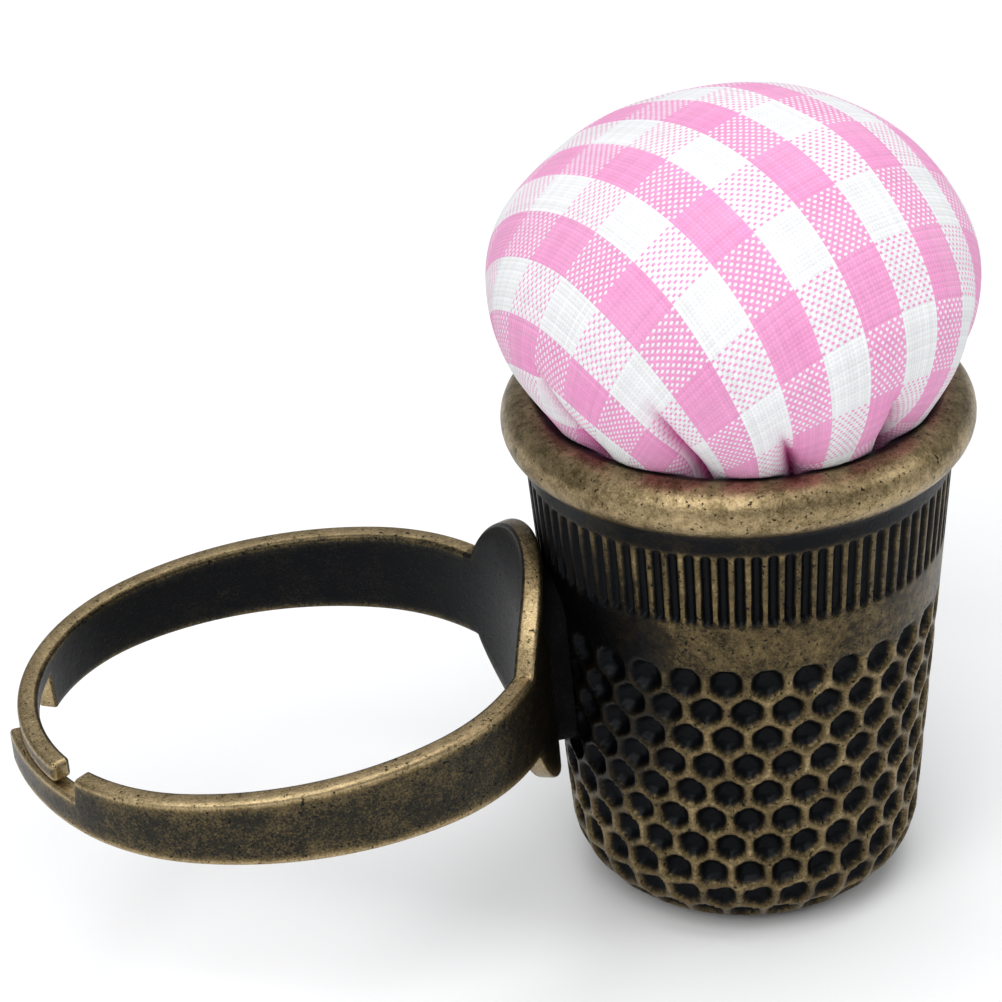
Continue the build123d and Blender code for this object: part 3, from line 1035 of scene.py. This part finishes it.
def weave(name):
    """Plain-weave gingham: each vertex says which warp and weft thread lies there."""
    look = Shading(name)
    warp, weft = look.value("warp"), look.value("weft")

    def across(thread):
        """0 in a thread's middle, 0.5 at its edges."""
        return look.math("ABSOLUTE", look.math("SUBTRACT", look.math("FRACT", thread), 0.5))

    def dyed(thread, repeat):
        number = look.math("FLOOR", thread)
        place = look.math("FRACT", look.math("DIVIDE", look.add(number, 0.5), repeat))
        return look.math("LESS_THAN", place, 0.5)

    def thread_tone(thread, seed):
        """From -0.5 to 0.5, different for each thread."""
        made = look.node("TexWhiteNoise", noise_dimensions="1D")
        look.feed(made.inputs["W"], look.add(look.math("FLOOR", thread), seed))
        return look.math("SUBTRACT", made.outputs["Value"], 0.5)

    crossing = look.add(look.math("FLOOR", warp), look.math("FLOOR", weft))
    parity = look.math("FRACT", look.math("MULTIPLY", crossing, 0.5))
    under_warp, under_weft = across(warp), across(weft)
    along_float = look.math("POWER", look.math("DIVIDE", under_warp, FLOAT_LENGTH), 2.0)
    over_float = look.math("POWER", look.math("DIVIDE", under_weft, FLOAT_WIDTH), 2.0)
    weft_float = look.spread(look.add(along_float, over_float), 1.2, 0.8)
    weft_on_top = look.times(look.math("LESS_THAN", parity, 0.25), weft_float)
    top_pink = look.add(
        look.times(look.math("SUBTRACT", 1.0, weft_on_top), dyed(warp, WARP_THREADS)),
        look.times(weft_on_top, dyed(weft, WEFT_THREADS)),
    )
    fibres = look.noise(look.millimetres(), 14.0, 3.0)
    washed = look.noise(look.millimetres(), 0.5, 2.0)
    faded = look.add(look.times(washed, 0.25), 0.95)
    pink_share = look.math("MULTIPLY", top_pink, faded, clamp=True)
    gap = look.math("MULTIPLY", under_warp, under_weft)
    shade = look.spread(gap, 0.08, 0.25, 1.0, 0.8)
    pale_line = look.spread(under_weft, 0.3, 0.5, 0.0, 0.3)
    # painted shade in the creases: deep pink over pink and white cloth alike
    drawn = look.value("drawn")
    pink = look.mix(drawn, look.mix(pale_line, PINK, PINK_LINE), CREASE_SHADE_PINK)
    white = look.mix(drawn, WHITE, CREASE_SHADE_WHITE)
    colour = look.mix(pink_share, white, pink)
    tint = look.node("VectorMath", colour, operation="SCALE")
    slubs = look.add(thread_tone(warp, 7.0), thread_tone(weft, 31.0))
    light = look.add(shade, look.times(fibres, 0.1), look.times(slubs, 0.09))
    look.feed(tint.inputs["Scale"], light)
    round_warp = look.math("COSINE", look.times(under_warp, pi))
    round_weft = look.math("COSINE", look.times(under_weft, pi))
    height = look.add(look.times(round_warp, round_weft), look.times(fibres, 0.3))
    look.bump(height, 0.035 * MM, 0.6)
    sheen = {"Sheen_Weight": 0.15, "Sheen_Roughness": 0.5}
    return look.finish(tint.outputs[0], 0.85, Specular_IOR_Level=0.25, **sheen)


# ---- inside the thimble ----
STUFFING_GAP = 0.35  # from the cloth's outer face
TAIL_TOP = 18.9
TAIL_ROWS = 26
TAIL_RUFFLES = 18
RUFFLE_DEPTH = 0.55
RUFFLE_LEAN = 0.12
WAIST_HEIGHT = 18.085  # where the thread draws the neck in
WAIST_SPREAD = 0.6
TAIL_WARP_PITCH = 0.165
TAIL_WEFT_PITCH = 0.168

THREAD_TURNS = 2
THREAD_TOP = 18.385  # where the winding starts
THREAD_TURN_RADIUS = 2.63
THREAD_DROP = 0.43  # from one turn to the next
STRAND_RADIUS = 0.11
STRAND_OFFSET = 0.09  # from the middle of the twisted pair
STRAND_TWISTS = 26  # in one turn round the neck
WINDING_STEPS = 700
KNOT_PLACE = 3.31
KNOT_SIZE = 0.1
KNOT_STEPS = 160


def make_stuffing(points, faces):
    """Packed fibre just inside the cloth."""
    piece = make_piece("fibre_stuffing", points, faces, fibre_look(), 180.0)
    normals = np.empty(len(points) * 3)
    piece.data.vertices.foreach_get("normal", normals)
    inside = points - normals.reshape(-1, 3) * STUFFING_GAP
    from_middle = inside - np.array((0, 0, BALL_HEIGHT))
    creases = pleat_press(from_middle, 1.1 * CREASE_DEPTH, 3 * CREASE_WIDTH)
    inside -= from_middle / np.linalg.norm(from_middle, axis=1)[:, None] * creases[:, None]
    set_points(piece.data, clear_of_bead(inside))
    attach(piece, "thimble")
    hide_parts("cushion_stuffing")


def make_tail():
    """The cover's gathered neck, drawn in by the thread, and its cut edge below."""
    heights = np.linspace(TAIL_BOTTOM, TAIL_TOP, TAIL_ROWS)
    columns = 8 * TAIL_RUFFLES
    points, warp, weft = [(0, 0, TAIL_BOTTOM + 0.2)], [0], [0]
    for height in heights:
        waist = exp(-(((height - WAIST_HEIGHT) / WAIST_SPREAD) ** 2))
        radius = NECK_RADIUS - 0.02 - 0.12 * waist
        for column in range(columns):
            angle = 2 * pi * column / columns
            lean = RUFFLE_LEAN * sin(3 * angle) * (height - TAIL_BOTTOM)
            ruffle = 0.5 - 0.5 * cos(TAIL_RUFFLES * angle + lean)
            reach = radius - (RUFFLE_DEPTH - 0.35 * waist) * ruffle
            points.append((reach * cos(angle), reach * sin(angle), height))
            warp.append(angle * NECK_RADIUS / TAIL_WARP_PITCH)
            weft.append(height / TAIL_WEFT_PITCH)
    points.append((0, 0, TAIL_TOP))
    warp.append(0)
    weft.append(0)
    counts = [1] + [columns] * len(heights) + [1]
    faces = stitch(counts)
    piece = make_piece("gathered_neck", points, faces, gingham, 60.0, warp=warp, weft=weft)
    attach(piece, "thimble")
    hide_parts("cushion_cover")


def tube(path, radius, sides, closed):
    """Points and faces of a round tube along a path that is nowhere upright."""
    path = np.array(path)
    ahead = np.roll(path, -1, axis=0) - np.roll(path, 1, axis=0)
    if not closed:
        ahead[0], ahead[-1] = path[1] - path[0], path[-1] - path[-2]
    ahead /= np.linalg.norm(ahead, axis=1)[:, None]
    aside = np.cross(ahead, (0, 0, 1))
    aside /= np.linalg.norm(aside, axis=1)[:, None]
    over = np.cross(aside, ahead)
    points = []
    for middle, flat, high in zip(path, aside, over):
        for side in range(sides):
            angle = 2 * pi * side / sides
            points.append(middle + radius * (cos(angle) * flat + sin(angle) * high))
    faces = stitch([sides] * len(path))
    last = len(points) - sides
    if closed:
        for i in range(sides):
            j = (i + 1) % sides
            faces.append((last + i, last + j, j, i))
    else:
        faces += [tuple(range(sides)), tuple(range(last, last + sides))]
    return points, faces


def make_thread():
    """Two-strand thread wound round the neck, and its knot."""
    look = thread_look()
    points, faces = [], []
    for strand in range(2):
        path = []
        for step in range(WINDING_STEPS + 1):
            turns = THREAD_TURNS * step / WINDING_STEPS
            angle = 2 * pi * turns
            twist = STRAND_TWISTS * angle + pi * strand
            radius = THREAD_TURN_RADIUS + STRAND_OFFSET * cos(twist)
            height = THREAD_TOP - THREAD_DROP * turns + STRAND_OFFSET * sin(twist)
            path.append((radius * cos(angle), radius * sin(angle), height))
        more, more_faces = tube(path, STRAND_RADIUS, 6, False)
        faces += [tuple(i + len(points) for i in face) for face in more_faces]
        points += more
    winding = make_piece("gather_thread_winding", points, faces, look, 70.0)
    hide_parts("gather_thread")
    path = []
    for step in range(KNOT_STEPS):
        turn = 2 * pi * step / KNOT_STEPS
        path.append((
            KNOT_PLACE + KNOT_SIZE * (sin(turn) + 2 * sin(2 * turn)),
            KNOT_SIZE * (cos(turn) - 2 * cos(2 * turn)),
            WAIST_HEIGHT - 1.6 * KNOT_SIZE * sin(3 * turn),
        ))
    points, faces = tube(path, STRAND_RADIUS, 8, True)
    knot = make_piece("gather_thread_knot", points, faces, look, 70.0)
    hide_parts("gather_knot")
    for piece in (winding, knot):
        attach(piece, "thimble")


def fibre_look():
    look = Shading("fibre_look")
    place = look.millimetres()
    strands = look.noise(place, 5.0, 5.0, 0.75)
    clumps = look.noise(place, 0.9, 2.0)
    tone = look.add(strands, look.times(clumps, 0.6), 0.5)
    colour = look.ramp(tone, (0.2, (0.62, 0.60, 0.55)), (0.75, (0.92, 0.91, 0.88)))
    look.bump(look.add(strands, clumps), 0.12 * MM)
    return look.finish(colour, look.spread(strands, -0.5, 0.5, 0.8, 1.0), Sheen_Weight=0.3)


def thread_look():
    look = Shading("thread_look")
    place = look.millimetres()
    fuzz = look.noise(place, 16.0, 4.0, 0.7)
    colour = look.ramp(look.add(fuzz, 0.5), (0.25, (0.66, 0.63, 0.58)), (0.75, (0.90, 0.88, 0.84)))
    look.bump(fuzz, 0.02 * MM)
    return look.finish(colour, look.spread(fuzz, -0.5, 0.5, 0.55, 0.8))


def glue_and_painted_shade_look():
    look = Shading("glue_and_painted_shade_look")
    place = look.millimetres()
    haze = look.noise(place, 0.8, 4.0)
    strings = look.noise(place, 4.0, 3.0)
    # the glue's colour is darkened: painted shade of the gap under the ball
    colour = look.ramp(look.add(haze, 0.5), (0.2, (0.30, 0.22, 0.13)), (0.8, (0.52, 0.43, 0.30)))
    look.bump(look.add(haze, look.times(strings, 0.4)), 0.15 * MM)
    rough = look.spread(strings, -0.5, 0.5, 0.25, 0.5)
    return look.finish(colour, rough, Subsurface_Weight=0.2, Subsurface_Scale=MM)


def solder_look():
    look = Shading("solder_look")
    place = look.millimetres()
    flow = look.noise(place, 0.9, 4.0)
    grain = look.noise(place, 9.0, 3.0, 0.7)
    tone = look.add(flow, look.times(grain, 0.5), 0.5)
    colour = look.ramp(
        tone,
        (0.3, (0.002, 0.002, 0.003)),
        (0.62, (0.006, 0.005, 0.005)),
        (0.95, (0.03, 0.025, 0.018)),
    )
    look.bump(look.add(flow, look.times(grain, 0.3)), 0.12 * MM)
    rough = look.spread(grain, -0.5, 0.5, 0.5, 0.75)
    return look.finish(colour, rough, 0.8, Specular_IOR_Level=0.15)


def dress(node, material):
    """Gives a CAD node that stays in view its material."""
    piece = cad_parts[node]
    piece.data.materials.clear()
    piece.data.materials.append(material)


# ---- build ----
place_camera()
light_scene()
lay_floor()

thimble_bronze = bronze("thimble_bronze_look", 0.55, 0.55, (0.030, 0.023, 0.013))
ring_bronze = bronze("ring_bronze_look", 0.36, 0.75, (0.026, 0.024, 0.018))
make_thimble()
make_pad()
make_arm(-1, "front_arm", "ring_arm_front", FRONT_SHOULDER, FRONT_TONGUE, SPRING_OUT, True)
make_arm(1, "back_arm", "ring_arm_back", BACK_SHOULDER, BACK_TONGUE, 0.0, False)
gingham = weave("gingham_look")
make_cushion()
make_tail()
make_thread()
dress("pad_solder", solder_look())
dress("glue_bed", glue_and_painted_shade_look())
